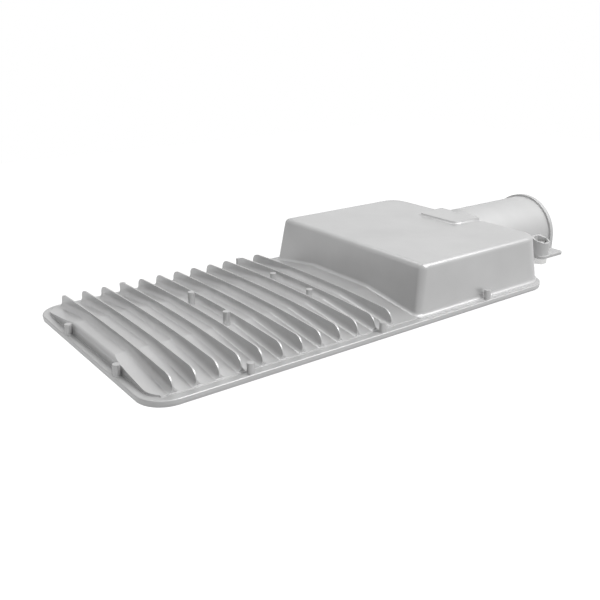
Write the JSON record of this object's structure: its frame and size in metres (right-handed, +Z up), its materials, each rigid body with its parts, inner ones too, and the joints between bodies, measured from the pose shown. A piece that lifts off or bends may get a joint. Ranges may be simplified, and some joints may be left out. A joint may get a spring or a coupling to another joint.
{
  "type": "solar street light",
  "caption": "Pole-top street light head: a flat cast body with cross fins, a raised gear box and a round spigot with a bolted clamp for a pole arm.",
  "frame": {"origin": "centre of the spigot's mouth, on the axis of the pole arm", "axes": "+X along the pole arm, the way it leaves the spigot; the lamp reaches along -X; +Z up, away from the lit side"},
  "size_m": [0.4905, 0.21, 0.0734],
  "materials": {
    "cast_body": "satin",
    "plate_aluminium": "satin",
    "bright_steel": "satin",
    "zinc_steel": "satin",
    "clear_lens": "gloss",
    "board": "matte",
    "led_phosphor": "satin",
    "seal_rubber": "matte",
    "battery_wrap": "satin",
    "controller_case": "matte",
    "terminal_plastic": "satin",
    "gland_plastic": "matte"
  },
  "bodies": {
    "root": {"housing": "cast_body", "pole_clamp": "cast_body", "clamp_bolts": "bright_steel", "clamp_washers": "bright_steel", "clamp_nuts": "bright_steel", "optic_frame": "plate_aluminium", "frame_gasket": "seal_rubber", "frame_screws": "bright_steel", "front_lens": "clear_lens", "rear_lens": "clear_lens", "front_lens_seal": "seal_rubber", "rear_lens_seal": "seal_rubber", "front_led_board": "board", "rear_led_board": "board", "front_leds": "led_phosphor", "rear_leds": "led_phosphor", "module_screws": "bright_steel", "gear_cover": "plate_aluminium", "gear_gasket": "seal_rubber", "cover_screws": "bright_steel", "breather_valve": "gland_plastic", "breather_nut": "gland_plastic", "gear_tray": "zinc_steel", "tray_screws": "bright_steel", "battery_pack": "battery_wrap", "battery_strap": "zinc_steel", "strap_screws": "bright_steel", "charge_controller": "controller_case", "controller_screws": "bright_steel", "terminal_block": "terminal_plastic", "earth_screw": "bright_steel", "cable_gland": "gland_plastic", "gland_nut": "gland_plastic"}
  },
  "joints": []
}
